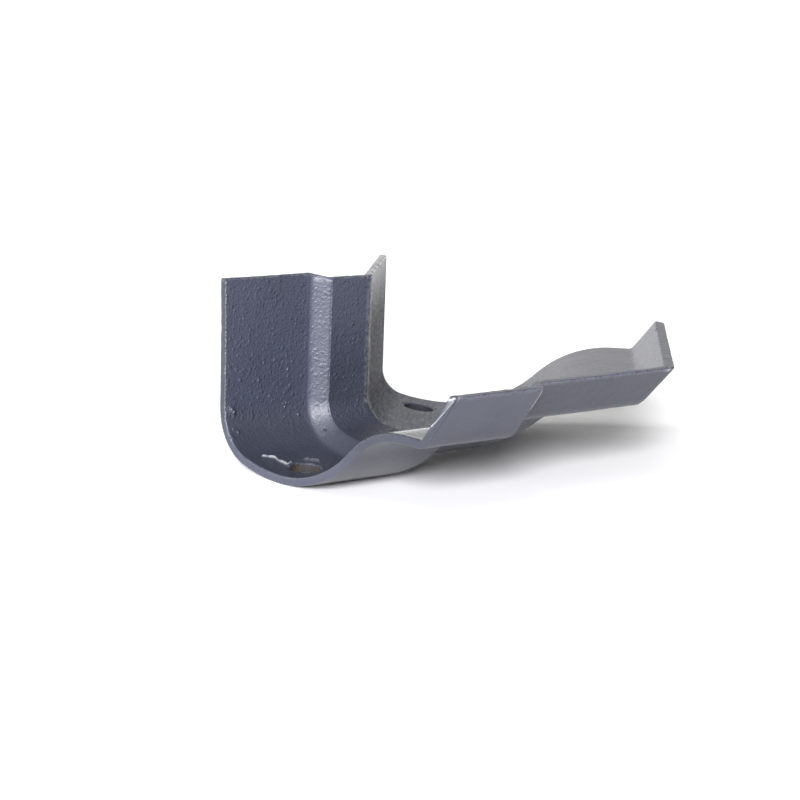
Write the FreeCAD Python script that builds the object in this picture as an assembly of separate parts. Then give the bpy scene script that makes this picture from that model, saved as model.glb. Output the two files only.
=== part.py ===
import FreeCAD, Part
import math
import os
from FreeCAD import Vector

# Cast gutter external angle for ogee gutter, in millimetres.
# Arm one runs along X from the socket end to the mitre. Arm two turns away from it at the mitre.
# The back walls stand vertical, the ogee front faces -Y, and Z points up.

# Section of the trough
overall_width = 115.0       # back face to the tip of the lip, outside
back_height = 61.5          # underside of the sole to the top of the back
front_height = 40.0         # underside of the sole to the top of the lip
wall = 3.1                  # casting thickness
corner_radius = 11.0        # inside corner where the back meets the sole
sole_radius = 75.0          # inside, sole between the back corner and its lowest line
lowest_line = 27.5          # inside of the back to the lowest line of the sole
curve_rise = 25.5           # inside, lowest line of the sole to the shelf
curve_share = 0.54          # part of the ogee that belongs to the lower, hollow curve
shelf_width = 8.2           # level strip between the ogee and the lip
lip_lean = 37.7             # degrees, lip leaning outwards from the vertical
lip_root_radius = 2.0       # inside, where the shelf turns up into the lip
lip_corner_radius = 5.0     # outside of the same turn
shelf_extra = 0.8           # how much thicker than the wall the shelf is, outside the socket

# Plan
turn = 45.0                 # degrees between the two arms
socket_arm = 62.0           # inside of the back, mitre to the socket end
spigot_arm = 66.0           # inside of the back, mitre to the spigot end
socket_depth = 37.5         # inside, socket end to the start of the shoulder
joint_gap = 2.3             # room for sealant round a spigot inside the socket
shoulder_length = 4.8       # along the arm, socket size down to trough size
socket_back_rise = 1.3      # how far the back of the socket stands above the plain back

# Bolt holes, upright through the sole
spigot_hole = 11.8          # diameter
spigot_hole_end = 19.8      # spigot end to hole centre
spigot_hole_back = 16.4     # inside of the back to hole centre
socket_hole = 11.0          # diameter
socket_hole_end = 14.2      # socket end to hole centre
socket_hole_back = 24.3     # inside of the back to hole centre

# Rounding of the cast edges
mitre_round = 3.0           # inside the trough, along the line where the arms meet
mitre_edge_round = 1.5      # the same line outside
shoulder_hollow_round = 3.0  # inner corners of the shoulder
shoulder_edge_round = 1.5   # raised edges of the shoulder
rim_round = 0.8             # top rims and both ends
bend_round = 8.0            # where the top of the back slopes down behind the socket

socket_offset = wall + joint_gap
clear = 5.0                 # how far cutting bodies run past what they cut


lean = math.radians(lip_lean)
half_turn_slope = math.tan(math.radians(0.5 * turn))
lip_thickness = wall / math.cos(lean)
lip_rise = front_height - wall - curve_rise
lip_top_inside = overall_width - wall - lip_thickness
lip_root_inside = lip_top_inside - lip_rise * math.tan(lean)
shelf_start = lip_root_inside - shelf_width
curve_run = shelf_start - lowest_line
back_top = back_height - wall
lip_top = curve_rise + lip_rise


def at(x, u, v):
    return Vector(x, -u, v)


def arc(x, centre_u, centre_v, radius, start, end):
    # Angles in radians from the front direction, turning upwards
    ends = []
    for a in (start, 0.5 * (start + end), end):
        ends.append(at(x, centre_u + radius * math.cos(a), centre_v + radius * math.sin(a)))
    return Part.Arc(ends[0], ends[1], ends[2]).toShape()


def outline(x, offset, extra, lip_round, top):
    # Closed outline of the trough grown outwards by offset, with its shelf lower by extra, and
    # filled up to the height top
    rise = curve_rise - extra
    angle = 2.0 * math.atan2(rise, curve_run)
    total = curve_run / math.sin(angle)
    lower = total * curve_share
    upper = total - lower
    fall = math.sqrt((sole_radius - corner_radius) ** 2 - (lowest_line - corner_radius) ** 2)
    corner_v = sole_radius - fall
    tilt = math.atan2(lowest_line - corner_radius, fall)
    down = -0.5 * math.pi
    edges = []
    edges.append(Part.makeLine(at(x, -offset, top), at(x, -offset, corner_v)))
    edges.append(arc(x, corner_radius, corner_v, corner_radius + offset, -math.pi, down - tilt))
    edges.append(arc(x, lowest_line, sole_radius, sole_radius + offset, down - tilt, down))
    edges.append(arc(x, lowest_line, lower, lower + offset, down, down + angle))
    up = 0.5 * math.pi
    edges.append(arc(x, shelf_start, rise - upper, upper - offset, up + angle, up))
    # The shelf and the lip meet in an arc
    rise_angle = up - lean
    shelf_v = rise - offset
    root_u = lip_root_inside + offset * math.tan(0.5 * rise_angle) - extra * math.tan(lean)
    tangent = lip_round * math.tan(0.5 * rise_angle)
    edges.append(Part.makeLine(at(x, shelf_start, shelf_v), at(x, root_u - tangent, shelf_v)))
    edges.append(arc(x, root_u - tangent, shelf_v + lip_round, lip_round, down, down + rise_angle))
    foot_u = root_u + tangent * math.cos(rise_angle)
    foot_v = shelf_v + tangent * math.sin(rise_angle)
    tip_u = foot_u + (top - foot_v) * math.tan(lean)
    edges.append(Part.makeLine(at(x, foot_u, foot_v), at(x, tip_u, top)))
    edges.append(Part.makeLine(at(x, tip_u, top), at(x, -offset, top)))
    return Part.Wire(edges)


def run(stations, lip_round, top):
    # Solid through outlines, each given by its place along the arm, offset and extra
    wires = []
    for x, offset, extra in stations:
        wires.append(outline(x, offset, extra, lip_round, top))
    return Part.makeLoft(wires, True, True)


def above_rims(back_line):
    # Everything over the top of the back, and over the top of the lip at the front
    reach = overall_width + 100.0
    start = back_line[0][0]
    length = back_line[-1][0] - start
    corners = [Vector(x, -reach, v) for x, v in back_line]
    corners += [Vector(start + length, -reach, 200.0), Vector(start, -reach, 200.0)]
    over_back = Part.Face(Part.makePolygon(corners + corners[:1])).extrude(Vector(0, 2.0 * reach, 0))
    bends = []
    for x, v in back_line[1:-1]:
        for edge in over_back.Edges:
            away = [math.hypot(p.X - x, p.Z - v) for p in edge.Vertexes]
            if max(away) < 1e-4:
                bends.append(edge)
    if bends:
        over_back = over_back.makeFillet(bend_round, bends).Solids[0]
    over_lip = Part.makeBox(length, reach, 100.0, Vector(start, -reach - shelf_start, lip_top))
    return over_back.fuse(over_lip)


def mitre_side(start, end_sign):
    # Plan area on one side of the mitre, as an upright block
    reach = overall_width + 100.0
    corners = [
        Vector(start, reach, -100.0),
        Vector(-end_sign * reach * half_turn_slope, reach, -100.0),
        Vector(end_sign * reach * half_turn_slope, -reach, -100.0),
        Vector(start, -reach, -100.0),
    ]
    face = Part.Face(Part.makePolygon(corners + corners[:1]))
    return face.extrude(Vector(0, 0, 300.0))


# Arm one, with the socket
past_mitre = (overall_width + 20.0) * half_turn_slope
socket_end = -socket_arm
shoulder_slope = math.atan2(socket_offset, shoulder_length)
shoulder_in = socket_end + socket_depth
shoulder_out = shoulder_in + wall * math.tan(0.5 * shoulder_slope)
outer_one = run([
    (socket_end, socket_offset + wall, 0.0),
    (shoulder_out, socket_offset + wall, 0.0),
    (shoulder_out + shoulder_length, wall, shelf_extra),
    (past_mitre, wall, shelf_extra),
], lip_corner_radius, back_top + clear)
inner_one = run([
    (socket_end - clear, socket_offset, 0.0),
    (shoulder_in, socket_offset, 0.0),
    (shoulder_in + shoulder_length, 0.0, 0.0),
    (past_mitre + clear, 0.0, 0.0),
], lip_root_radius, back_top + 2.0 * clear)
socket_top = back_top + socket_back_rise
back_line = [
    (socket_end - clear, socket_top),
    (shoulder_out, socket_top),
    (shoulder_out + shoulder_length, back_top),
    (past_mitre + clear, back_top),
]
over_one = above_rims(back_line)
arm_one = outer_one.cut(inner_one).cut(over_one)
arm_one = arm_one.common(mitre_side(socket_end - clear, 1.0))

# Arm two, the plain spigot, drawn along X and then turned
outer_two = run([
    (-past_mitre, wall, shelf_extra),
    (spigot_arm, wall, shelf_extra),
], lip_corner_radius, back_top + clear)
inner_two = run([
    (-past_mitre - clear, 0.0, 0.0),
    (spigot_arm + clear, 0.0, 0.0),
], lip_root_radius, back_top + 2.0 * clear)
back_line_two = [(-past_mitre - clear, back_top), (spigot_arm + clear, back_top)]
arm_two = outer_two.cut(inner_two).cut(above_rims(back_line_two))
arm_two = arm_two.common(mitre_side(spigot_arm + clear, -1.0))
arm_two.rotate(Vector(0, 0, 0), Vector(0, 0, 1), turn)

casting = arm_one.fuse(arm_two).removeSplitter()
casting = casting.Solids[0]

# Bolt holes, one near each end
arm_two_way = Vector(math.cos(math.radians(turn)), math.sin(math.radians(turn)), 0)
arm_two_front = Vector(math.sin(math.radians(turn)), -math.cos(math.radians(turn)), 0)
socket_hole_at = at(socket_end + socket_hole_end, socket_hole_back, -socket_offset - 20.0)
spigot_hole_at = arm_two_way * (spigot_arm - spigot_hole_end) + arm_two_front * spigot_hole_back
spigot_hole_at = spigot_hole_at + Vector(0, 0, -20.0)
casting = casting.cut(Part.makeCylinder(0.5 * socket_hole, 40.0, socket_hole_at))
casting = casting.cut(Part.makeCylinder(0.5 * spigot_hole, 40.0, spigot_hole_at))
casting = casting.Solids[0]


def lies_on(edge, normal, distance):
    # True if the whole edge lies in the plane
    first = edge.FirstParameter
    span = edge.LastParameter - first
    for part in (0.0, 0.3, 0.7, 1.0):
        if abs(edge.valueAt(first + part * span).dot(normal) - distance) > 1e-4:
            return False
    return True


def rests_on(edge, body):
    # True if the whole edge touches the body
    first = edge.FirstParameter
    span = edge.LastParameter - first
    for part in (0.0, 0.3, 0.7, 1.0):
        if body.distToShape(Part.Vertex(edge.valueAt(first + part * span)))[0] > 1e-4:
            return False
    return True


def edges_on(shape, planes):
    found = []
    for edge in shape.Edges:
        if any(lies_on(edge, normal, distance) for normal, distance in planes):
            found.append(edge)
    return found


def upright_edges(shape, place):
    found = []
    for edge in shape.Edges:
        away = [(Vector(v.X, v.Y, 0) - place).Length for v in edge.Vertexes]
        if len(away) == 2 and max(away) < 1e-4:
            found.append(edge)
    return found


def rounded(shape, radius, edges):
    return shape.makeFillet(radius, edges).Solids[0]


along = Vector(1, 0, 0)
up_way = Vector(0, 0, 1)

# Shoulder between the socket and the trough, inside and outside
casting = rounded(casting, shoulder_hollow_round, edges_on(casting, [(along, shoulder_in)]))
casting = rounded(casting, shoulder_edge_round, edges_on(casting, [(along, shoulder_in + shoulder_length)]))
casting = rounded(casting, shoulder_edge_round, edges_on(casting, [(along, shoulder_out)]))
casting = rounded(casting, shoulder_hollow_round, edges_on(casting, [(along, shoulder_out + shoulder_length)]))

# Line of the mitre, inside and outside
casting = rounded(casting, mitre_round, upright_edges(casting, Vector(0, 0, 0)))
outer_corner = Vector(-wall * half_turn_slope, wall, 0)
casting = rounded(casting, mitre_edge_round, upright_edges(casting, outer_corner))

# Rims of the back and the lip, and both ends
rims = [
    (up_way, back_top),
    (up_way, lip_top),
    (along, socket_end),
    (arm_two_way, spigot_arm),
]
rim_edges = edges_on(casting, rims)
for edge in casting.Edges:
    if rests_on(edge, over_one) and not any(edge.isSame(other) for other in rim_edges):
        rim_edges.append(edge)
casting = rounded(casting, rim_round, rim_edges)

# The base stands on Z = 0, with the middle of the plan at the origin
box = casting.optimalBoundingBox(False, False)
casting.translate(Vector(-0.5 * (box.XMin + box.XMax), -0.5 * (box.YMin + box.YMax), -box.ZMin))

os.makedirs("parts", exist_ok=True)
casting.exportStep("parts/external_angle.step")
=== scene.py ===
import bpy
import bmesh
import math
from mathutils import Matrix, Vector, noise
from mathutils.kdtree import KDTree


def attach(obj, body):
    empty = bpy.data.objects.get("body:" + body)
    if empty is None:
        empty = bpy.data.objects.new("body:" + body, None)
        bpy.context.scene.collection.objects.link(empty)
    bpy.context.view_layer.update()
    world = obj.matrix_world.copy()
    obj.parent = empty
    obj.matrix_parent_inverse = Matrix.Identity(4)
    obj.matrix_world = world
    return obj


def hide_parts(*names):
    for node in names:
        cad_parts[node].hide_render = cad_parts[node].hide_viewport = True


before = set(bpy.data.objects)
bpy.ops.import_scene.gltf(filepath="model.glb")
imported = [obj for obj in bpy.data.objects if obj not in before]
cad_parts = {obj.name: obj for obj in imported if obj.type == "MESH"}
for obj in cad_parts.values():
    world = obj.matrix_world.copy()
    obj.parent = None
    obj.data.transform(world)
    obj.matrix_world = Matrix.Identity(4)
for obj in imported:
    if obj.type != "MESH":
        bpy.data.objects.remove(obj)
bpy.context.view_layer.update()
scene = bpy.context.scene
print("frame loaded:", sorted(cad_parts))

# casting: one trough bent at a mitre, in millimetres until it is placed

trough = {
    "overallWidth": 115.0,      # back to the tip of the lip, outside
    "backTop": 58.4,            # above the lowest line of the sole, inside
    "lipTop": 36.9,
    "wall": 3.1,
    "cornerRadius": 11.0,       # inside, back to sole
    "soleRadius": 75.0,
    "lowestLine": 27.5,         # inside of the back to the lowest line
    "curveRise": 25.5,          # lowest line to the shelf
    "curveShare": 0.54,         # lower part of the ogee
    "shelfWidth": 8.2,
    "lipLean": math.radians(37.7),
    "lipRootRadius": 2.0,
    "lipCornerRadius": 5.0,
    "shelfExtra": 0.8,          # the plain shelf is thicker than the wall
    "socketRise": 1.3,          # the back of the socket stands higher
    "rim": 0.8,
    "lipRim": 0.4,              # sharp outer edge of the lip
    "insideStep": 0.95,         # mesh spacing along the section
    "outsideStep": 1.9,
    "rimStep": 0.35,
}

plan = {
    "turn": math.radians(45.0),
    "socketEnd": -62.0,
    "spigotEnd": 66.0,
    "shoulderIn": -24.5,        # inside, where the socket starts to narrow
    "shoulderOut": -23.11,      # the same place outside
    "shoulderLength": 4.8,
    "shoulderRun": 5.8,         # inside, where the paint fills the shoulder out
    "socketGrow": 5.4,
    "endRound": 0.65,
    "endSegments": 3,
    "capSides": 20,             # a face with more sides than this is one of the ends
    "spanCuts": (42, 9, 44, 88),    # cuts along each length between two sections
    "sharpFrom": math.radians(48.0),
    "toFrame": Vector((-31.438, 34.683, 8.5)),
}

toMetres = 0.001

# paint

paintLook = {
    "coat": (0.037, 0.041, 0.062),       # dark slate blue
    "dusk": (0.033, 0.037, 0.056),       # deeper patches
    "chalk": (0.041, 0.045, 0.065),      # slightly greyer patches
    "duskAt": 0.30, "coatAt": 0.50, "chalkAt": 0.72,
    "wornAndLit": (0.120, 0.123, 0.138),       # thin paint along the edges, lighter also as painted highlight
    "wornAndLitFrom": (0.36, 0.58),            # part of the peel where an edge shows it
    "chipAndGlint": (0.560, 0.570, 0.585),       # knocked corners, bright as painted glints
    "paintedShadeTint": (0.75, 0.75, 0.71),     # painted shade, multiplied over the paint
    "patchSize": 55.0,                   # noise scale per metre
    "peelSize": 850.0,                   # orange peel
    "grainSize": 1700.0,                 # sand of the casting under the paint
    "gloss": {                           # roughness of each region
        "plain": 0.38, "shoulder": 0.39, "shoulderFoot": 0.47, "socketShelf": 0.17, "lipEnd": 0.65,
        "deepFront": 0.31, "farSole": 0.43, "farBackTop": 0.30, "farBack": 0.64, "farRim": 0.16,
        "run": 0.33,
    },
    "fineShare": 0.35,                   # roughness that changes with the grain
    "brushShare": 3.2,                   # and with the brush marks of the dull paint
    "brushSize": 900.0,
    "brushStretch": 0.16,                # brush marks run along the far arm
    "calmShare": 0.94,                   # bump that is lost where the paint lies smooth
    "peelHeight": 0.00036,
    "ior": 1.45,
}

skinShape = {
    "pimpleScale": 0.62,                 # pimples are wider than the peel
    "pimpleSlope": (0.36, 0.02),         # foot and top of a pimple, in shares of a cell
    "pimpleHeight": 0.55,
    "sandHeight": 0.22,
}


def addNode(tree, kind, spot, **sockets):
    node = tree.nodes.new(kind)
    node.location = spot
    for name, value in sockets.items():
        node.inputs[name].default_value = value
    return node


def addMath(tree, operation, spot, *values):
    # each value is a number, or an output to link
    node = addNode(tree, "ShaderNodeMath", spot)
    node.operation = operation
    for socket, value in zip(node.inputs, values):
        if isinstance(value, float):
            socket.default_value = value
        else:
            tree.links.new(value, socket)
    return node.outputs[0]


def addRange(tree, spot, value, fromSpan=(0.0, 1.0), toSpan=(0.0, 1.0)):
    node = addNode(tree, "ShaderNodeMapRange", spot)
    for name, limit in zip(("From Min", "From Max", "To Min", "To Max"), (*fromSpan, *toSpan)):
        node.inputs[name].default_value = limit
    tree.links.new(value, node.inputs["Value"])
    return node


def addSwing(tree, spot, value, share):
    # a noise that goes up and down round zero
    node = addRange(tree, spot, value, toSpan=(-0.5 * share, 0.5 * share))
    node.clamp = False
    return node.outputs[0]


def addRamp(tree, spot, value, stops):
    node = addNode(tree, "ShaderNodeValToRGB", spot)
    elements = node.color_ramp.elements
    while len(elements) < len(stops):
        elements.new(0.5)
    for element, (position, color) in zip(elements, stops):
        element.position = position
        element.color = (*color, 1)
    tree.links.new(value, node.inputs["Fac"])
    return node.outputs["Color"]


def addMark(tree, spot, name):
    # reads one of the values that markPaint leaves on the mesh
    node = addNode(tree, "ShaderNodeAttribute", spot)
    node.attribute_name = name
    return node.outputs["Fac"]


def addTint(tree, spot, share, under, over, blend="MIX"):
    node = addNode(tree, "ShaderNodeMixRGB", spot)
    node.blend_type = blend
    node.inputs["Color2"].default_value = (*over, 1)
    tree.links.new(share, node.inputs["Fac"])
    tree.links.new(under, node.inputs["Color1"])
    return node.outputs["Color"]


def makeCastSkin():
    # height, patches, fine grain and orange peel that any painted casting can share
    shape = skinShape
    group = bpy.data.node_groups.new("castSkin", "ShaderNodeTree")
    face = group.interface
    face.new_socket("Vector", in_out="INPUT", socket_type="NodeSocketVector")
    for name in ("Patch Size", "Peel Size", "Grain Size"):
        face.new_socket(name, in_out="INPUT", socket_type="NodeSocketFloat")
    for name in ("Height", "Patch", "Fine", "Peel"):
        face.new_socket(name, in_out="OUTPUT", socket_type="NodeSocketFloat")
    start = addNode(group, "NodeGroupInput", (-900, 0))
    end = addNode(group, "NodeGroupOutput", (700, 0))
    link = group.links.new
    patch = addNode(group, "ShaderNodeTexNoise", (-600, 300), Detail=3.0, Roughness=0.55)
    peel = addNode(group, "ShaderNodeTexNoise", (-600, 0), Detail=2.0, Roughness=0.5)
    grain = addNode(group, "ShaderNodeTexNoise", (-600, -300), Detail=1.0, Roughness=0.5)
    for node, size in ((patch, "Patch Size"), (peel, "Peel Size"), (grain, "Grain Size")):
        link(start.outputs["Vector"], node.inputs["Vector"])
        link(start.outputs[size], node.inputs["Scale"])
    pimple = addNode(group, "ShaderNodeTexVoronoi", (-600, -600))
    pimple.feature = "SMOOTH_F1"
    link(start.outputs["Vector"], pimple.inputs["Vector"])
    link(addMath(group, "MULTIPLY", (-800, -600), start.outputs["Peel Size"], shape["pimpleScale"]),
         pimple.inputs["Scale"])
    dome = addRange(group, (-350, -600), pimple.outputs["Distance"],
                    shape["pimpleSlope"], (0.0, shape["pimpleHeight"]))
    dome.interpolation_type = "SMOOTHSTEP"
    lift = addMath(group, "ADD", (-100, -100), peel.outputs["Fac"], dome.outputs[0])
    sand = addMath(group, "MULTIPLY", (-100, -300), grain.outputs["Fac"], shape["sandHeight"])
    link(addMath(group, "ADD", (150, -150), lift, sand), end.inputs["Height"])
    link(patch.outputs["Fac"], end.inputs["Patch"])
    link(grain.outputs["Fac"], end.inputs["Fine"])
    link(peel.outputs["Fac"], end.inputs["Peel"])
    return group


def addSkin(tree, castSkin, look):
    place = addNode(tree, "ShaderNodeTexCoord", (-1100, 0))
    skin = addNode(tree, "ShaderNodeGroup", (-850, 0))
    skin.node_tree = castSkin
    skin.inputs["Patch Size"].default_value = look["patchSize"]
    skin.inputs["Peel Size"].default_value = look["peelSize"]
    skin.inputs["Grain Size"].default_value = look["grainSize"]
    tree.links.new(place.outputs["Object"], skin.inputs["Vector"])
    return place, skin


def addRelief(tree, height, distance):
    shader = tree.nodes["Principled BSDF"]
    bump = addNode(tree, "ShaderNodeBump", (-300, -300), Strength=1.0, Distance=distance)
    tree.links.new(height, bump.inputs["Height"])
    tree.links.new(bump.outputs["Normal"], shader.inputs["Normal"])


def makePaint(castSkin):
    look = paintLook
    paint = bpy.data.materials.new("slate_paint")
    paint.use_nodes = True
    tree = paint.node_tree
    link = tree.links.new
    shader = tree.nodes["Principled BSDF"]
    shader.inputs["IOR"].default_value = look["ior"]
    place, skin = addSkin(tree, castSkin, look)
    # colour: patches, then painted shade, thin paint with painted highlight, and knocks with painted glints
    # over them
    stops = [(look[name + "At"], look[name]) for name in ("dusk", "coat", "chalk")]
    tint = addRamp(tree, (-550, 250), skin.outputs["Patch"], stops)
    paintedShade = addMark(tree, (-850, 350), "paintedShade")
    shaded = addTint(tree, (-350, 250), paintedShade, tint, look["paintedShadeTint"], "MULTIPLY")
    edge = addMark(tree, (-850, 500), "edge")
    broken = addRange(tree, (-550, 500), skin.outputs["Peel"], look["wornAndLitFrom"])
    wearAndSheen = addMath(tree, "MULTIPLY", (-350, 500), edge, broken.outputs[0])
    rubbedAndLit = addTint(tree, (-200, 300), wearAndSheen, shaded, look["wornAndLit"])
    chipAndGlint = addMark(tree, (-350, 700), "chipAndGlint")
    chippedAndGlinting = addTint(tree, (-50, 400), chipAndGlint, rubbedAndLit, look["chipAndGlint"])
    link(chippedAndGlinting, shader.inputs["Base Color"])
    # roughness: dull paint shows more of the brush, smooth paint less of everything
    gloss = addMark(tree, (-1050, -350), "gloss")
    along = addNode(tree, "ShaderNodeMapping", (-1050, -550))
    along.vector_type = "TEXTURE"
    along.inputs["Rotation"].default_value = (0, 0, plan["turn"])
    along.inputs["Scale"].default_value = (1.0 / look["brushStretch"], 1.0, 1.0)
    link(place.outputs["Object"], along.inputs["Vector"])
    brush = addNode(tree, "ShaderNodeTexNoise", (-800, -650), Scale=look["brushSize"], Detail=2.0)
    link(along.outputs["Vector"], brush.inputs["Vector"])
    dullness = addMath(tree, "POWER", (-800, -350), gloss, 2.0)
    swing = addSwing(tree, (-600, -500), brush.outputs["Fac"], look["brushShare"])
    fine = addSwing(tree, (-600, -150), skin.outputs["Fine"], look["fineShare"])
    marks = addMath(tree, "MULTIPLY_ADD", (-450, -450), swing, dullness, fine)
    calm = addMark(tree, (-850, -750), "calm")
    flatter = addRange(tree, (-600, -750), calm, toSpan=(1.0, 1.0 - look["calmShare"])).outputs[0]
    rough = addMath(tree, "MULTIPLY_ADD", (-300, -100), marks, flatter, gloss)
    rough.node.use_clamp = True
    link(rough, shader.inputs["Roughness"])
    relief = addMath(tree, "MULTIPLY", (-450, -300), skin.outputs["Height"], flatter)
    addRelief(tree, relief, look["peelHeight"])
    return paint


holeLook = {
    "socketHole": ((0.020, 0.019, 0.020), (0.034, 0.027, 0.021)),     # brown where the paint is thin
    # painted shade: the spigot hole's lining is darker to stand for shade inside the hole
    "spigotHole": ((0.012, 0.013, 0.018), (0.016, 0.017, 0.022)),
    "patchAt": (0.38, 0.62),
    "patchSize": 240.0,
    "peelSize": 900.0,
    "grainSize": 2600.0,
    "roughness": 0.75,
    "specular": 0.2,
    "peelHeight": 0.0003,
}


def makeHoleLining(castSkin, hole):
    look = holeLook
    holeLining = bpy.data.materials.new("iron_" + hole)
    holeLining.use_nodes = True
    tree = holeLining.node_tree
    shader = tree.nodes["Principled BSDF"]
    shader.inputs["Roughness"].default_value = look["roughness"]
    shader.inputs["Specular IOR Level"].default_value = look["specular"]
    skin = addSkin(tree, castSkin, look)[1]
    stops = list(zip(look["patchAt"], look[hole]))
    tree.links.new(addRamp(tree, (-550, 250), skin.outputs["Patch"], stops), shader.inputs["Base Color"])
    addRelief(tree, skin.outputs["Height"], look["peelHeight"])
    return holeLining


castSkin = makeCastSkin()
slatePaint = makePaint(castSkin)
holeLinings = [makeHoleLining(castSkin, hole) for hole in ("socketHole", "spigotHole")]
print("paint made")


def penLine(bm, tip, heading, length, steps):
    way = Vector((0, -math.cos(heading), math.sin(heading))) * (length / steps)
    drawn = bmesh.ops.spin(bm, geom=[tip], cent=tip.co, axis=(-1, 0, 0), dvec=way, angle=0.0, steps=steps)
    return [g for g in drawn["geom_last"] if isinstance(g, bmesh.types.BMVert)][0]


def penArc(bm, tip, heading, radius, angle, steps):
    # a positive angle turns to the left of the way the pen moves
    side = math.copysign(1.0, angle)
    middle = tip.co + Vector((0, math.sin(heading), math.cos(heading))) * radius * side
    swept = bmesh.ops.spin(bm, geom=[tip], cent=middle, axis=(-1, 0, 0), angle=angle, steps=steps)
    return [g for g in swept["geom_last"] if isinstance(g, bmesh.types.BMVert)][0]


def drawSection(bm, skin, inner, extra, rise):
    # closed outline of the wall, with the inside grown by inner, the shelf by extra and the back by rise
    t = trough
    lean = t["lipLean"]
    climb = 0.5 * math.pi - lean
    lipRise = t["lipTop"] - t["curveRise"]
    lipTopInside = t["overallWidth"] - t["wall"] - t["wall"] / math.cos(lean)
    lipRoot = lipTopInside - lipRise * math.tan(lean)
    shelfStart = lipRoot - t["shelfWidth"]
    outer = inner + t["wall"]
    reach = t["lowestLine"] - t["cornerRadius"]
    fall = math.sqrt((t["soleRadius"] - t["cornerRadius"]) ** 2 - reach ** 2)
    cornerV = t["soleRadius"] - fall
    tilt = math.atan2(reach, fall)
    rim = t["rim"]
    right = 0.5 * math.pi

    def ogeeMeasures(lower):
        curveRun = shelfStart - t["lowestLine"]
        angle = 2.0 * math.atan2(t["curveRise"] - lower, curveRun)
        total = curveRun / math.sin(angle)
        return angle, total * t["curveShare"], total * (1.0 - t["curveShare"])

    def lipMeasures(grow, lower, roundness):
        root = lipRoot + grow * math.tan(0.5 * climb) - lower * math.tan(lean)
        tangent = roundness * math.tan(0.5 * climb)
        flat = root - tangent - shelfStart
        footV = t["curveRise"] - lower - grow + tangent * math.sin(climb)
        footU = root + tangent * math.cos(climb)
        tipU = footU + (t["lipTop"] - footV) * math.tan(lean)
        return flat, (t["lipTop"] - footV) / math.cos(lean), tipU

    angleIn, lowerIn, upperIn = ogeeMeasures(0.0)
    angleOut, lowerOut, upperOut = ogeeMeasures(extra)
    flatIn, lipIn, tipIn = lipMeasures(inner, 0.0, t["lipRootRadius"])
    flatOut, lipOut, tipOut = lipMeasures(outer, extra, t["lipCornerRadius"])
    cutIn = rim * math.tan(0.5 * climb)
    cutOut = t["lipRim"] * math.tan(0.5 * (math.pi - climb))
    backLength = t["backTop"] + rise - rim - cornerV
    strokes = [                 # length, or radius and angle, then skin
        (backLength, 0, 0.0),
        (t["cornerRadius"] + inner, right - tilt, 0.0),
        (t["soleRadius"] + inner, tilt, 0.0),
        (lowerIn + inner, angleIn, 0.0),
        (upperIn - inner, -angleIn, 0.0),
        (flatIn, 0, 0.0),
        (t["lipRootRadius"], climb, 0.0),
        (lipIn - cutIn, 0, 0.0),
        (rim, -climb, 0.4),
        (tipOut - tipIn - cutIn - cutOut, 0, 0.5),
        (t["lipRim"], climb - math.pi, 0.6),
        (lipOut - cutOut, 0, 1.0),
        (t["lipCornerRadius"], -climb, 1.0),
        (flatOut, 0, 1.0),
        (upperOut - outer, angleOut, 1.0),
        (lowerOut + outer, -angleOut, 1.0),
        (t["soleRadius"] + outer, -tilt, 1.0),
        (t["cornerRadius"] + outer, tilt - right, 1.0),
        (backLength, 0, 1.0),
        (rim, -right, 0.6),
        (outer - inner - 2.0 * rim, 0, 0.5),
        (rim, -right, 0.4),
    ]
    counts = sectionCounts(strokes)
    heading = -right
    seen = set(bm.verts)
    first = bm.verts.new((0, inner, t["backTop"] + rise - rim))
    drawn = [first]
    tip = first
    for (size, angle, side), count in zip(strokes, counts):
        seen.update(drawn)
        if angle:
            tip = penArc(bm, tip, heading, size, angle, count)
            heading += angle
        else:
            tip = penLine(bm, tip, heading, size, count)
        for vert in bm.verts:
            if vert not in seen:
                vert[skin] = side
                drawn.append(vert)
    bmesh.ops.pointmerge(bm, verts=[first, tip], merge_co=first.co)
    return [v for v in drawn if v.is_valid]


baseCounts = []


def sectionCounts(strokes):
    # the first section sets the counts, so every later one bridges onto it
    if not baseCounts:
        for size, angle, side in strokes:
            length = size * abs(angle) if angle else size
            step = trough["insideStep"] if side == 0.0 else trough["outsideStep"]
            if 0.0 < side < 1.0:
                step = trough["rimStep"]
            baseCounts.append(max(1, round(length / step)))
    return baseCounts


def loopEdges(verts):
    # each edge once, in the same order every time
    inLoop = set(verts)
    return list(dict.fromkeys(e for v in verts for e in v.link_edges if e.other_vert(v) in inLoop))


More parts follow.
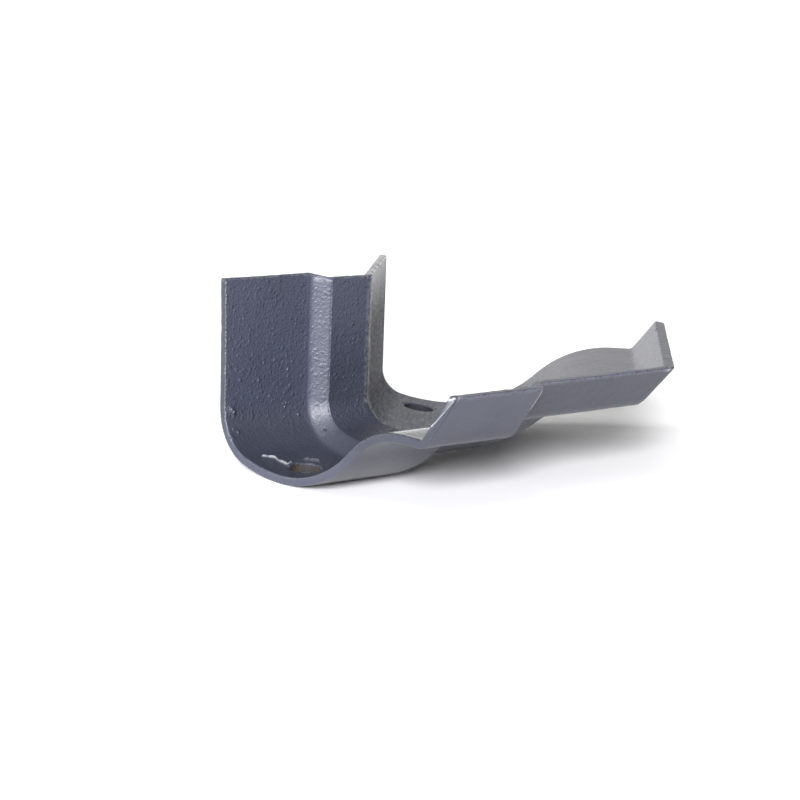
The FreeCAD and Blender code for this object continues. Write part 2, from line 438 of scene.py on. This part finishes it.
def buildTrough():
    p = plan
    extra = trough["shelfExtra"]
    rise = trough["socketRise"]
    bm = bmesh.new()
    skin = bm.verts.layers.float.new("skin")    # 0 inside, 0.4 to 0.6 on the rims, 1 outside
    stations = []
    for xIn, xOut, grow, thicker, higher in (
        (p["socketEnd"], p["socketEnd"], p["socketGrow"], 0.0, rise),
        (p["shoulderIn"], p["shoulderOut"], p["socketGrow"], 0.0, rise),
        (p["shoulderIn"] + p["shoulderRun"], p["shoulderOut"] + p["shoulderLength"], 0.0, extra, 0.0),
    ):
        loop = drawSection(bm, skin, grow, thicker, higher)
        for vert in loop:
            vert.co.x = xIn + (xOut - xIn) * vert[skin]
        stations.append(loop)
    mitre = drawSection(bm, skin, 0.0, extra, 0.0)
    lean = Matrix.Identity(4)
    lean[0][1] = -math.tan(0.5 * p["turn"])
    bmesh.ops.transform(bm, matrix=lean, verts=mitre)
    stations.append(mitre)
    far = drawSection(bm, skin, 0.0, extra, 0.0)
    bmesh.ops.translate(bm, vec=(p["spigotEnd"], 0, 0), verts=far)
    bmesh.ops.rotate(bm, cent=(0, 0, 0), matrix=Matrix.Rotation(p["turn"], 3, "Z"), verts=far)
    stations.append(far)
    rings = [loopEdges(loop) for loop in stations]
    for near, away, cuts in zip(rings, rings[1:], p["spanCuts"]):
        span = bmesh.ops.bridge_loops(bm, edges=near + away)
        bmesh.ops.subdivide_edges(bm, edges=span["edges"], cuts=cuts)
    for end in (rings[0], rings[-1]):
        bmesh.ops.edgeloop_fill(bm, edges=end)
    bmesh.ops.recalc_face_normals(bm, faces=bm.faces)
    ends = [e for e in rings[0] + rings[-1] if e.is_valid]
    bmesh.ops.bevel(bm, geom=ends, offset=p["endRound"], segments=p["endSegments"], profile=0.5,
                    affect="EDGES", material=-1, clamp_overlap=False)
    caps = [f for f in bm.faces if len(f.verts) > p["capSides"]]
    bmesh.ops.triangulate(bm, faces=caps, ngon_method="BEAUTY")
    return bm, skin


# half width of the band that is smoothed, and how many times
softLines = {
    "shoulderHollow": (3.2, 9), "shoulderEdge": (1.0, 1),           # inside
    "shoulderEdgeOut": (0.8, 1), "shoulderHollowOut": (2.6, 5),
    "mitreIn": (3.4, 12), "mitreOut": (2.2, 1),
    "strength": 0.5,
}


def softenLines(bm, skin):
    # the shoulder's hollows are rounder than its edges, and the mitre is soft all along
    p = plan
    slope = math.tan(0.5 * p["turn"])

    def relax(verts, times, upToo):
        for again in range(times):
            bmesh.ops.smooth_vert(bm, verts=verts, factor=softLines["strength"],
                                  use_axis_x=True, use_axis_y=True, use_axis_z=upToo)

    for place, side, line in (
        (p["shoulderIn"], 0.0, "shoulderHollow"),
        (p["shoulderIn"] + p["shoulderRun"], 0.0, "shoulderEdge"),
        (p["shoulderOut"], 1.0, "shoulderEdgeOut"),
        (p["shoulderOut"] + p["shoulderLength"], 1.0, "shoulderHollowOut"),
    ):
        reach, times = softLines[line]
        band = [v for v in bm.verts if abs(v.co.x - place) < reach and abs(v[skin] - side) < 0.6
                and v.co.x < -v.co.y * slope - 1.0]
        relax(band, times, True)
    for side, line in ((0.0, "mitreIn"), (1.0, "mitreOut")):
        reach, times = softLines[line]
        crease = [v for v in bm.verts if abs(v.co.x + v.co.y * slope) < reach and abs(v[skin] - side) < 0.5]
        relax(crease, times, False)


# small shapes of the cast iron and its thick paint, at places in the finished frame

boltHoles = {
    "places": ((-79.238, 10.383, 5.5), (12.827, 55.755, 5.9)),   # x, y and radius
    "sink": 0.4,                # how far the paint dips into the hole
    "reach": 1.3,
    "below": 16.0,              # the soles lie below this height
    "fineFrom": -1.6,           # ring of finer faces, measured from the hole's edge
    "fineTo": 2.2,
    "sides": 64,
    "drillLength": 50.0,
    "burrFrom": -28.0,          # raised paint round the far side of the socket's hole, in degrees
    "burrTo": 126.0,
    "burrSteps": 14,
    "burrReach": 0.6,
    "burrLevel": 3.4,
    "burrHalf": 0.8,
    "burrHeight": 0.9,
    "burrGlint": 0.03,
}

# x, y, z, radius and height of each drop or pimple
paintSpots = (
    (-90.7, 40.03, 20.7, 1.40, 1.00), (-89.6, 39.98, 19.4, 1.20, 0.90), (-89.2, 37.39, 12.7, 0.80, 0.50),
    (-86.9, 40.08, 31.0, 0.70, 0.45), (-88.6, 40.08, 35.1, 0.50, 0.32), (-78.5, 40.08, 30.2, 0.75, 0.48),
    (-78.4, 40.08, 23.9, 0.55, 0.35), (-71.4, 40.08, 28.4, 0.55, 0.36), (-68.1, 40.08, 41.5, 0.50, 0.34),
    (-65.8, 40.08, 38.4, 0.55, 0.36), (-70.0, 40.08, 38.5, 0.45, 0.26), (-67.6, 40.08, 38.4, 0.40, 0.24),
    (-65.3, 40.08, 33.4, 0.70, 0.45), (-65.3, 40.08, 30.8, 0.50, 0.30), (-65.4, 40.08, 26.0, 1.30, 0.35),
    (-60.33, 39.15, 16.2, 0.70, 0.50), (-66.85, 39.12, 16.1, 0.50, 0.34), (-85.35, 39.75, 18.4, 0.50, 0.34),
    (-89.1, 40.08, 22.8, 0.50, 0.32), (-87.33, 39.9, 19.2, 0.50, 0.34), (-81.4, 40.08, 39.8, 0.55, 0.32),
    (-73.6, 40.08, 35.0, 0.50, 0.30), (-88.8, 40.08, 45.0, 0.40, 0.24), (-85.8, 40.08, 45.0, 0.40, 0.24),
    (-83.2, 40.08, 45.0, 0.40, 0.22), (-72.6, 40.08, 48.8, 0.50, 0.28), (-85.8, 40.08, 53.4, 0.50, 0.28),
    (-79.2, 40.08, 59.0, 0.50, 0.28), (-92.0, 40.08, 36.8, 0.50, 0.30), (-68.0, 40.08, 28.0, 0.50, 0.30),
    (-64.0, 40.08, 27.4, 0.45, 0.28), (-63.4, 40.08, 36.0, 0.45, 0.28), (-71.6, 40.08, 37.2, 0.45, 0.28),
    (-73.4, 40.08, 24.0, 0.50, 0.30), (-74.13, 39.39, 17.0, 0.50, 0.32), (-74.21, 39.8, 18.7, 0.45, 0.28),
    (-64.22, 40.06, 20.8, 0.50, 0.32), (-61.25, 39.77, 18.5, 0.50, 0.32), (-85.91, 39.39, 17.0, 0.50, 0.34),
    (-90.65, 38.11, 13.9, 0.60, 0.38), (-66.9, 40.04, 20.5, 0.65, 0.40), (-65.5, 40.05, 20.9, 0.60, 0.36),
    (-66.3, 40.0, 19.6, 0.60, 0.38), (-38.9, 34.68, 43.5, 0.50, 0.32), (-41.6, 34.68, 24.6, 0.45, 0.26),
    (-42.0, 34.68, 38.6, 0.45, 0.26), (-36.28, 34.58, 20.2, 0.50, 0.30), (-51.9, 35.54, 22.0, 0.80, 0.30),
    (-53.47, 37.13, 19.7, 0.70, 0.26), (-93.2, -82.6, 44.5, 0.60, 0.35), (-92.9, -83.0, 43.2, 0.50, 0.30),
    (11.4, -76.3, 45.0, 0.90, 0.30), (76.3, -9.8, 45.1, 0.60, -0.90), (-53.6, 32.2, 10.9, 0.40, 0.18),
    (-35.0, 34.7, 66.4, 0.60, 0.30), (-32.9, 34.9, 66.6, 0.60, 0.30), (-31.4, 34.9, 65.4, 0.50, 0.28),
    (-92.4, 36.4, 10.9, 0.90, 0.50), (-77.7, 40.1, 67.4, 0.50, 0.25),
)

# x, y, z and radius of each bright knock in an edge, which also stands for a painted glint
chipGlints = (
    (-93.4, -80.1, 43.6, 0.8), (-93.4, -82.4, 44.4, 0.9), (-92.2, -83.1, 45.0, 0.7),
    (-93.3, -72.2, 34.6, 0.7), (11.2, -76.4, 44.7, 0.9), (12.5, -76.2, 44.9, 0.9),
)

# sagged paint: a path of points, with half width and height of the ridge, and how much painted glint its
# crest carries
paintRuns = (
    (((-86.0, 26.4, 5.43), (-84.7, 25.7, 5.25), (-82.4, 24.1, 4.91), (-82.9, 20.9, 4.29), (-82.4, 19.2, 4.0),
      (-82.4, 16.4, 3.63), (-80.6, 17.0, 3.7)), 0.48, 0.85, 0.36),
    (((-71.9, 19.2, 4.0), (-70.2, 17.9, 3.85), (-68.6, 16.6, 3.65)), 1.15, 0.95, 0.08),
    (((-87.0, 4.6, 3.16), (-85.5, 2.6, 3.3), (-82.8, 2.0, 3.34)), 0.40, 0.40, 0.0),
    (((-82.8, 39.9, 19.6), (-83.0, 39.5, 17.3)), 0.45, 0.34, 0.0),
    (((-81.3, 39.9, 19.5), (-81.6, 39.4, 17.0)), 0.45, 0.34, 0.0),
    (((-54.2, 32.7, 10.7), (-53.9, 31.7, 10.4), (-53.2, 31.7, 10.8), (-53.1, 32.4, 11.4), (-53.7, 32.8, 11.2),
      (-54.2, 32.7, 10.7)), 0.32, -0.70, 0.0),
    (((-53.3, 37.1, 20.9), (-52.4, 36.1, 19.9), (-51.3, 35.2, 20.7), (-50.7, 34.8, 22.2),
      (-51.3, 35.2, 23.2)), 0.34, -0.55, 0.0),
)

paintRelief = {
    "spotRing": (2.1, 0.5),     # finer faces: times the radius, plus
    "runRing": (2.2, 0.6),
    "ringStep": 0.5,
    "fineCuts": 3,
    "runStep": 0.15,
    "cornerSpread": 0.8,        # rounding of a run's corners, in half widths
    "bellReach": 2.4,
    "bellFall": 1.5,
    "sameSide": 0.2,            # leaves out the other side of the wall
    "raggedScale": 1.1,
    "spotRagged": 0.35,
    "runRagged": 0.15,
    "swell": 0.45,              # runs change in width along their way
    "swellScale": 0.8,
    "smoothShare": 1.1,
    "runCalm": 0.9,
}

unevenCast = {
    "slow": 0.09, "slowLength": 17.0,       # height and wavelength of the waves in the walls
    "quick": 0.050, "quickLength": 3.6, "quickShift": Vector((7.3, 1.9, 4.1)),
    "rim": 0.15, "rimLength": 2.2, "rimShift": Vector((2.2, 8.4, 5.6)),
    "endSlant": 0.9, "slantLength": 25.0,   # the socket end leans out at the top of the back
    "slantFront": 20.0, "slantFoot": 22.0, "slantRise": 46.0, "slantCurve": 1.5,
    "tipKnock": 1.7, "tipReach": 4.0,       # worn corner at the far end of the lip
    "tipOut": 1.0, "tipCurve": 1.6,
    "tipWay": (-0.2, -0.1, -1.0),           # along the arm, to the front and up
}


def wholeTree(items, place):
    tree = KDTree(len(items))
    for index, item in enumerate(items):
        tree.insert(place(item), index)
    tree.balance()
    return tree


def farDirections():
    way = Vector((math.cos(plan["turn"]), math.sin(plan["turn"]), 0))
    return way, Vector((way.y, -way.x, 0))


def stepsAlong(path, step, spread):
    # evenly spaced points, with the corners of the path rounded off
    points = []
    for start, end in zip(path, path[1:]):
        start, end = Vector(start), Vector(end)
        count = max(1, math.ceil((end - start).length / step))
        points += [start.lerp(end, i / count) for i in range(count)]
    points.append(Vector(path[-1]))
    for again in range(round(2.0 * (spread / step) ** 2)):
        inner = [0.25 * a + 0.5 * b + 0.25 * c for a, b, c in zip(points, points[1:], points[2:])]
        points = [points[0], *inner, points[-1]]
    return points


def burrRun():
    hole = boltHoles
    x, y, radius = hole["places"][0]
    reach = radius + hole["burrReach"]
    sweep = hole["burrTo"] - hole["burrFrom"]
    steps = hole["burrSteps"]
    turns = [math.radians(hole["burrFrom"] + sweep * i / steps) for i in range(steps + 1)]
    path = [(x + reach * math.cos(turn), y + reach * math.sin(turn), hole["burrLevel"]) for turn in turns]
    return path, hole["burrHalf"], hole["burrHeight"], hole["burrGlint"]


def refineSpots(bm):
    # finer faces wherever a small shape is going to be
    r = paintRelief
    hole = boltHoles
    times, plus = r["spotRing"]
    centres = [(Vector(spot[:3]), times * spot[3] + plus) for spot in paintSpots]
    times, plus = r["runRing"]
    for path, width, height, crestGlint in (*paintRuns, burrRun()):
        steps = stepsAlong(path, r["ringStep"], r["cornerSpread"] * width)
        centres += [(point, times * width + plus) for point in steps]
    bm.faces.ensure_lookup_table()
    tree = wholeTree(bm.faces, lambda face: face.calc_center_median())
    chosen = set()
    for centre, reach in centres:
        chosen.update(index for place, index, away in tree.find_range(centre, reach))
    for x, y, radius in hole["places"]:
        for index, face in enumerate(bm.faces):
            middle = face.calc_center_median()
            away = math.hypot(middle.x - x, middle.y - y)
            if middle.z < hole["below"] and radius + hole["fineFrom"] < away < radius + hole["fineTo"]:
                chosen.add(index)
    edges = dict.fromkeys(edge for index in sorted(chosen) for edge in bm.faces[index].edges)
    bmesh.ops.subdivide_edges(bm, edges=list(edges), cuts=r["fineCuts"], use_grid_fill=True)
    bm.normal_update()


def raisePaint(bm):
    # thick paint stands up from the wall, and runs of it are smooth
    r = paintRelief
    runGloss = paintLook["gloss"]["run"]
    calm = bm.verts.layers.float["calm"]
    gloss = bm.verts.layers.float["gloss"]
    chipAndGlint = bm.verts.layers.float["chipAndGlint"]
    verts = list(bm.verts)
    tree = wholeTree(verts, lambda vert: vert.co)
    lifts = {}

    def lift(centre, reach, height, ragged):
        facing = verts[tree.find(centre)[1]].normal.copy()
        for place, index, away in tree.find_range(centre, r["bellReach"] * reach):
            if verts[index].normal.dot(facing) > r["sameSide"]:
                uneven = away * (1.0 + ragged * noise.noise(place * r["raggedScale"]))
                yield index, height * math.exp(-r["bellFall"] * (uneven / reach) ** 2)

    for x, y, z, radius, height in paintSpots:
        for index, amount in lift(Vector((x, y, z)), radius, height, r["spotRagged"]):
            lifts[index] = lifts.get(index, 0.0) + amount
    for path, width, height, crestGlint in (*paintRuns, burrRun()):
        ridge = {}
        for point in stepsAlong(path, r["runStep"], r["cornerSpread"] * width):
            swell = 1.0 + r["swell"] * noise.noise(point * r["swellScale"])
            for index, amount in lift(point, width * swell, height * swell, r["runRagged"]):
                ridge[index] = max(ridge.get(index, 0.0), amount, key=abs)
        for index, amount in ridge.items():
            lifts[index] = lifts.get(index, 0.0) + amount
            vert = verts[index]
            smooth = min(1.0, r["smoothShare"] * amount / height)
            vert[calm] = max(vert[calm], r["runCalm"] * smooth)
            # painted glint on the run's crest, in the knock colour
            vert[chipAndGlint] = max(vert[chipAndGlint], crestGlint * smooth)
            vert[gloss] += (runGloss - vert[gloss]) * smooth
    moves = [(verts[index], verts[index].normal * amount) for index, amount in lifts.items()]
    for vert, move in moves:
        vert.co += move


def sinkHoles(bm):
    hole = boltHoles
    for x, y, radius in hole["places"]:
        for vert in bm.verts:
            away = max(0.0, math.hypot(vert.co.x - x, vert.co.y - y) - radius)
            if vert.co.z < hole["below"] and away < hole["reach"] and abs(vert.normal.z) > 0.6:
                dip = hole["sink"] * (1.0 - away / hole["reach"]) ** 2
                vert.co.z -= math.copysign(dip, vert.normal.z)


def unevenWalls(bm, skin):
    w = unevenCast
    bm.normal_update()
    moves = []
    for vert in bm.verts:
        amount = w["slow"] * noise.noise(vert.co / w["slowLength"])
        amount += w["quick"] * noise.noise(vert.co / w["quickLength"] + w["quickShift"])
        if 0.1 < vert[skin] < 0.9:
            amount += w["rim"] * noise.noise(vert.co / w["rimLength"] + w["rimShift"])
        moves.append(vert.normal * amount)
    for vert, move in zip(bm.verts, moves):
        vert.co += move


def wornEnds(bm):
    w = unevenCast
    endX = plan["socketEnd"] + plan["toFrame"].x
    for vert in bm.verts:
        along = 1.0 - (vert.co.x - endX) / w["slantLength"]
        if along > 0.0 and vert.co.y > w["slantFront"]:
            high = min(1.0, max(0.0, (vert.co.z - w["slantFoot"]) / w["slantRise"]))
            vert.co.x -= w["endSlant"] * along ** 2 * high ** w["slantCurve"]
    way, front = farDirections()
    tipFront = trough["overallWidth"] - trough["wall"] + w["tipOut"]
    tip = way * plan["spigotEnd"] + front * tipFront + Vector((0, 0, trough["lipTop"])) + plan["toFrame"]
    byArm, byFront, byHeight = w["tipWay"]
    inwards = (byArm * way + byFront * front + Vector((0, 0, byHeight))).normalized()
    for vert in bm.verts:
        close = 1.0 - (vert.co - tip).length / w["tipReach"]
        if close > 0.0:
            vert.co += inwards * w["tipKnock"] * close ** w["tipCurve"]


def drillHoles(target, lining):
    # straight drills leave each hole's wall in its own lining
    drills = []
    for (x, y, radius), metal in zip(boltHoles["places"], lining):
        bm = bmesh.new()
        width = radius * toMetres
        spot = Matrix.Translation((x * toMetres, y * toMetres, 0))
        bmesh.ops.create_cone(bm, cap_ends=True, segments=boltHoles["sides"], radius1=width, radius2=width,
                              depth=boltHoles["drillLength"] * toMetres, matrix=spot)
        mesh = bpy.data.meshes.new("drill")
        bm.to_mesh(mesh)
        bm.free()
        mesh.materials.append(metal)
        drill = bpy.data.objects.new("drill", mesh)
        scene.collection.objects.link(drill)
        cut = target.modifiers.new("drill", "BOOLEAN")
        cut.object = drill
        cut.solver = "EXACT"
        cut.material_mode = "TRANSFER"
        drills.append(drill)
    graph = bpy.context.evaluated_depsgraph_get()
    drilled = bpy.data.meshes.new_from_object(target.evaluated_get(graph))
    target.modifiers.clear()
    target.data = drilled
    for drill in drills:
        bpy.data.objects.remove(drill)


# where the paint changes, in millimetres from the trough's own lines
# a span is where a change starts and where it is complete
paintZones = {
    "backCalm": 0.35, "frontCalm": 0.92, "frontSpan": (25.0, 50.0),     # outside, from the back to the front
    "deepSpan": (48.0, 70.0), "deepCalm": 0.5,                          # inside, up the ogee
    "footSpan": (22.0, 13.0), "shoulderCalm": 0.66, "footCalm": 0.1,
    "shoulderLap": 0.5,
    "farBackSpan": (58.0, 38.0), "farSoleSpan": (1.0, 9.0), "farSpan": (0.0, 8.0),
    "farCalm": 0.5, "farDeepCalm": 0.85,
    "shelfSpan": (70.0, 82.0), "shelfEndSpan": (0.6, 2.4), "shelfCalm": 0.9,
    "soleSpan": (12.0, 4.0), "soleCalm": 0.55,
    "farRimDepth": 6.0,
    "lipEnd": 0.9, "lipFrom": 92.0, "lipAbove": 22.0,
    "endEdge": (0.03, 0.6), "endWornAndLit": 0.3, "endWornAndLitOut": 0.1, "endWornAndLitTo": -70.0,
    "stepHalf": 0.4, "stepFrom": -80.0, "stepAbove": 28.0, "stepGlint": 0.3,     # shoulder seen on the lip, lit along its edge as a painted highlight
    "rimWornAndLit": 0.5, "farRimWornAndLit": 0.2,
    "mitreSheen": 0.7, "mitreDepth": 3.0, "mitreAbove": 10.0, "mitreMiddle": 0.5, "mitreSpan": (2.8, 1.2),
    # painted shade: how much darker the paint is made, and where
    "shadeMost": 0.9,
    "endShadeReach": 0.7, "endShadeSpan": (4.0, 12.0),
    "shoulderShadeSpan": (8.0, 3.0),
    "bodyShadeSpan": (45.0, 15.0), "soleShadeSpan": (15.0, 4.0), "farShadeSpan": (14.0, 0.0),
    "outShadeEnd": 1.0, "outShadeSpan": (-1.0, 4.0), "outLowSpan": (26.0, 18.0),
    "chipGlintCore": 2.0,
}


def fade(value, span):
    start, end = span
    return min(1.0, max(0.0, (value - start) / (end - start)))


def mix(one, other, share):
    return one + (other - one) * share


def markPaint(bm, skin):
    # gloss, smoothness, thin edges with painted highlight, knocks with painted glints and painted shade of
    # each place
    p = plan
    z = paintZones
    rough = paintLook["gloss"]
    gloss, calm, edge, chipAndGlint, paintedShade = (
        bm.verts.layers.float.new(name) for name in ("gloss", "calm", "edge", "chipAndGlint", "paintedShade")
    )
    way, front = farDirections()
    slope = math.tan(0.5 * p["turn"])
    outStep = p["shoulderOut"]
    outShadeSpan = (outStep + z["outShadeSpan"][0], outStep + z["outShadeSpan"][1])
    for vert in bm.verts:
        spot = vert.co - p["toFrame"]
        inside = vert[skin] < 0.2
        outside = vert[skin] > 0.5
        onRim = 0.35 < vert[skin] < 0.65
        fromMitre = spot.x + spot.y * slope
        far = fromMitre > 0.0
        forward = spot.dot(front) if far else -spot.y
        fromEnd = min(spot.x - p["socketEnd"], p["spigotEnd"] - spot.dot(way))
        onShoulder = p["shoulderIn"] - z["shoulderLap"] < spot.x < p["shoulderIn"] + p["shoulderRun"]
        onFarRim = onRim and far and forward < z["farRimDepth"]
        deep = fade(forward, z["deepSpan"])
        # gloss and smoothness
        vert[gloss] = rough["plain"]
        if inside and onShoulder:
            foot = fade(spot.z, z["footSpan"])
            vert[gloss] = mix(rough["shoulder"], rough["shoulderFoot"], foot)
            vert[calm] = z["shoulderCalm"] + z["footCalm"] * foot
        elif inside and far:
            back = mix(rough["farBackTop"], rough["farBack"], fade(spot.z, z["farBackSpan"]))
            sole = mix(back, rough["farSole"], fade(forward, z["farSoleSpan"]))
            fromNear = fade(fromMitre, z["farSpan"])
            vert[gloss] = mix(mix(rough["plain"], sole, fromNear), rough["deepFront"], deep)
            vert[calm] = max(z["farCalm"] * fromNear, z["farDeepCalm"] * deep)
        elif inside and spot.x < p["shoulderIn"]:
            shelf = fade(forward, z["shelfSpan"]) * fade(fromEnd, z["shelfEndSpan"])
            vert[gloss] = mix(rough["plain"], rough["socketShelf"], shelf)
            vert[calm] = max(z["shelfCalm"] * shelf, z["soleCalm"] * fade(spot.z, z["soleSpan"]))
        elif inside:
            vert[gloss] = mix(rough["plain"], rough["deepFront"], deep)
            vert[calm] = z["deepCalm"] * deep
        else:
            vert[calm] = mix(z["backCalm"], z["frontCalm"], 1.0 if onRim else fade(forward, z["frontSpan"]))
            onLipEnd = fromEnd < z["lipEnd"] and forward > z["lipFrom"] and spot.z > z["lipAbove"]
            if onFarRim:
                vert[gloss] = rough["farRim"]
            elif not far and onLipEnd:
                vert[gloss] = rough["lipEnd"]
        # thin paint along the edges, also painted highlight on the rims, end faces, the lip's shoulder and
        # the mitre
        onStep = abs(spot.x - outStep) < z["stepHalf"] and spot.y < z["stepFrom"] and outside
        endFrom, endTo = z["endEdge"]
        if endFrom < fromEnd < endTo:
            vert[edge] = z["endWornAndLit"] if vert[skin] < 0.5 and spot.y > z["endWornAndLitTo"] else z["endWornAndLitOut"]
        # painted highlight along the shoulder's edge on the lip
        elif onStep and spot.z > z["stepAbove"]:
            vert[edge] = 1.0
            vert[chipAndGlint] = z["stepGlint"]
        elif onRim:
            vert[edge] = z["farRimWornAndLit"] if onFarRim else z["rimWornAndLit"]
        # painted sheen: a lighter band on the back wall along the inside of the mitre
        elif inside and forward < z["mitreDepth"] and spot.z > z["mitreAbove"]:
            vert[edge] = z["mitreSheen"] * fade(abs(fromMitre - z["mitreMiddle"]), z["mitreSpan"])
        # painted shade: darker end faces, darker outside beyond the shoulder and low down, darker lower walls
        # and sole in the near arm
        if fromEnd < z["endShadeReach"]:
            vert[paintedShade] = z["shadeMost"] * fade(spot.z, z["endShadeSpan"])
        elif inside and onShoulder:
            vert[paintedShade] = fade(spot.z, z["shoulderShadeSpan"])
        elif inside:
            low = z["shadeMost"] * fade(spot.z, z["bodyShadeSpan"]) if spot.x > p["shoulderIn"] else 0.0
            vert[paintedShade] = max(low, fade(spot.z, z["soleShadeSpan"])) * fade(fromMitre, z["farShadeSpan"])
        elif not onRim and fromEnd > z["outShadeEnd"]:
            under = max(fade(spot.x, outShadeSpan), fade(spot.z, z["outLowSpan"]))
            vert[paintedShade] = z["shadeMost"] * under
        # knocks with painted glints at the listed corners
        for chipX, chipY, chipZ, radius in chipGlints:
            away = (vert.co - Vector((chipX, chipY, chipZ))).length
            vert[chipAndGlint] = max(vert[chipAndGlint], min(1.0, z["chipGlintCore"] * max(0.0, 1.0 - away / radius)))


casting, skinLayer = buildTrough()
softenLines(casting, skinLayer)
bmesh.ops.translate(casting, vec=plan["toFrame"], verts=casting.verts)
markPaint(casting, skinLayer)
unevenWalls(casting, skinLayer)
wornEnds(casting)
refineSpots(casting)
raisePaint(casting)
sinkHoles(casting)
bmesh.ops.scale(casting, vec=(toMetres, toMetres, toMetres), verts=casting.verts)
castMesh = bpy.data.meshes.new("casting")
casting.to_mesh(castMesh)
casting.free()
castMesh.materials.append(slatePaint)
castObject = bpy.data.objects.new("casting", castMesh)
scene.collection.objects.link(castObject)
drillHoles(castObject, holeLinings)
for face in castObject.data.polygons:
    face.use_smooth = True
castObject.data.set_sharp_from_angle(angle=plan["sharpFrom"])
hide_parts("external_angle")
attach(castObject, "root")
castObject.data.calc_loop_triangles()
corners, triangles = len(castObject.data.vertices), len(castObject.data.loop_triangles)
print("casting built:", corners, "vertices", triangles, "triangles")

# floor, light and camera

studio = {
    "floor": (0.985, 0.985, 0.985),
    "floorHalf": 40.0,
    "floorCells": 40,
    "floorFlat": 8.0,                       # the floor is level this far out
    "floorRise": 0.08,                      # slope of the far floor, so that no horizon shows
    "floorRoughness": 0.9,
    "floorSpecular": 0.1,
    # name, compass angle, height angle, width, all in degrees, then power
    "suns": (
        ("key", -135.0, 20.0, 14.0, 6.1),
        ("left", -153.0, 11.0, 28.0, 3.5),
        ("front", -75.0, 30.0, 34.0, 0.20),
        ("high", -168.0, 60.0, 18.0, 0.70),
        ("top", -135.0, 52.0, 14.0, 0.35),
        ("back", 120.0, 12.0, 45.0, 0.8),
    ),
    "tint": {"key": (1.0, 1.0, 1.02), "left": (1.0, 0.99, 1.03)},
    "white": (1.0, 1.0, 1.0),
    "tentTint": (1.0, 0.985, 0.955),
    "tentFrom": 105.0,                      # compass angle of the white tent behind
    "tentSpan": (-0.05, 0.40),              # how it fades towards the front
    "tent": ((0.0, 1.20), (0.06, 1.10), (0.17, 0.95), (0.40, 0.75), (0.52, 0.45), (0.77, 0.15)),
    "tentLeast": 0.04,
    "cameraSpot": (-0.56741, -0.60646, 0.17256),
    "cameraTurn": (79.6594, -2.1127, -40.3534),
    "lens": 101.968,
    "sensor": 36.0,
    "clipEnd": 100.0,
}


def makeFloor():
    s = studio
    bm = bmesh.new()
    bmesh.ops.create_grid(bm, x_segments=s["floorCells"], y_segments=s["floorCells"], size=s["floorHalf"])
    for vert in bm.verts:
        vert.co.z = s["floorRise"] * max(0.0, vert.co.length - s["floorFlat"])
    mesh = bpy.data.meshes.new("floor")
    bm.to_mesh(mesh)
    bm.free()
    floor = bpy.data.objects.new("floor", mesh)
    scene.collection.objects.link(floor)
    paper = bpy.data.materials.new("floor_paper")
    paper.use_nodes = True
    shader = paper.node_tree.nodes["Principled BSDF"]
    shader.inputs["Base Color"].default_value = (*s["floor"], 1)
    shader.inputs["Roughness"].default_value = s["floorRoughness"]
    shader.inputs["Specular IOR Level"].default_value = s["floorSpecular"]
    mesh.materials.append(paper)


def makeSun(name, compass, height, width, power):
    lamp = bpy.data.lights.new(name, "SUN")
    lamp.energy = power
    lamp.color = studio["tint"].get(name, studio["white"])
    lamp.angle = math.radians(width)
    turn, lift = math.radians(compass), math.radians(height)
    source = Vector((math.cos(turn) * math.cos(lift), math.sin(turn) * math.cos(lift), math.sin(lift)))
    sun = bpy.data.objects.new(name, lamp)
    sun.rotation_euler = source.to_track_quat("Z", "Y").to_euler()
    scene.collection.objects.link(sun)


def makeTent():
    # white tent behind the casting, brightest at the floor and fading towards the front
    world = bpy.data.worlds.new("tent")
    world.use_nodes = True
    tree = world.node_tree
    link = tree.links.new
    background = tree.nodes["Background"]
    place = addNode(tree, "ShaderNodeTexCoord", (-1000, 0))
    parts = addNode(tree, "ShaderNodeSeparateXYZ", (-800, 150))
    link(place.outputs["Generated"], parts.inputs[0])
    stops = [(height, (light, light, light)) for height, light in studio["tent"]]
    glow = addRamp(tree, (-600, 150), parts.outputs["Z"], stops)
    turn = math.radians(studio["tentFrom"])
    facing = addNode(tree, "ShaderNodeVectorMath", (-800, -150))
    facing.operation = "DOT_PRODUCT"
    facing.inputs[1].default_value = (math.cos(turn), math.sin(turn), 0)
    link(place.outputs["Generated"], facing.inputs[0])
    behind = addRange(tree, (-600, -150), facing.outputs["Value"], studio["tentSpan"])
    behind.interpolation_type = "SMOOTHSTEP"
    light = addMath(tree, "MULTIPLY", (-300, 0), glow, behind.outputs[0])
    least = addMath(tree, "MAXIMUM", (-150, 0), light, studio["tentLeast"])
    link(least, background.inputs["Strength"])
    background.inputs["Color"].default_value = (*studio["tentTint"], 1)
    scene.world = world


makeFloor()
for sun in studio["suns"]:
    makeSun(*sun)
makeTent()
scene.view_settings.view_transform = "Standard"

lens = bpy.data.cameras.new("camera")
lens.lens = studio["lens"]
lens.sensor_width = studio["sensor"]
lens.clip_end = studio["clipEnd"]
camera = bpy.data.objects.new("camera", lens)
camera.location = studio["cameraSpot"]
camera.rotation_euler = [math.radians(a) for a in studio["cameraTurn"]]
scene.collection.objects.link(camera)
scene.camera = camera
print("studio set")
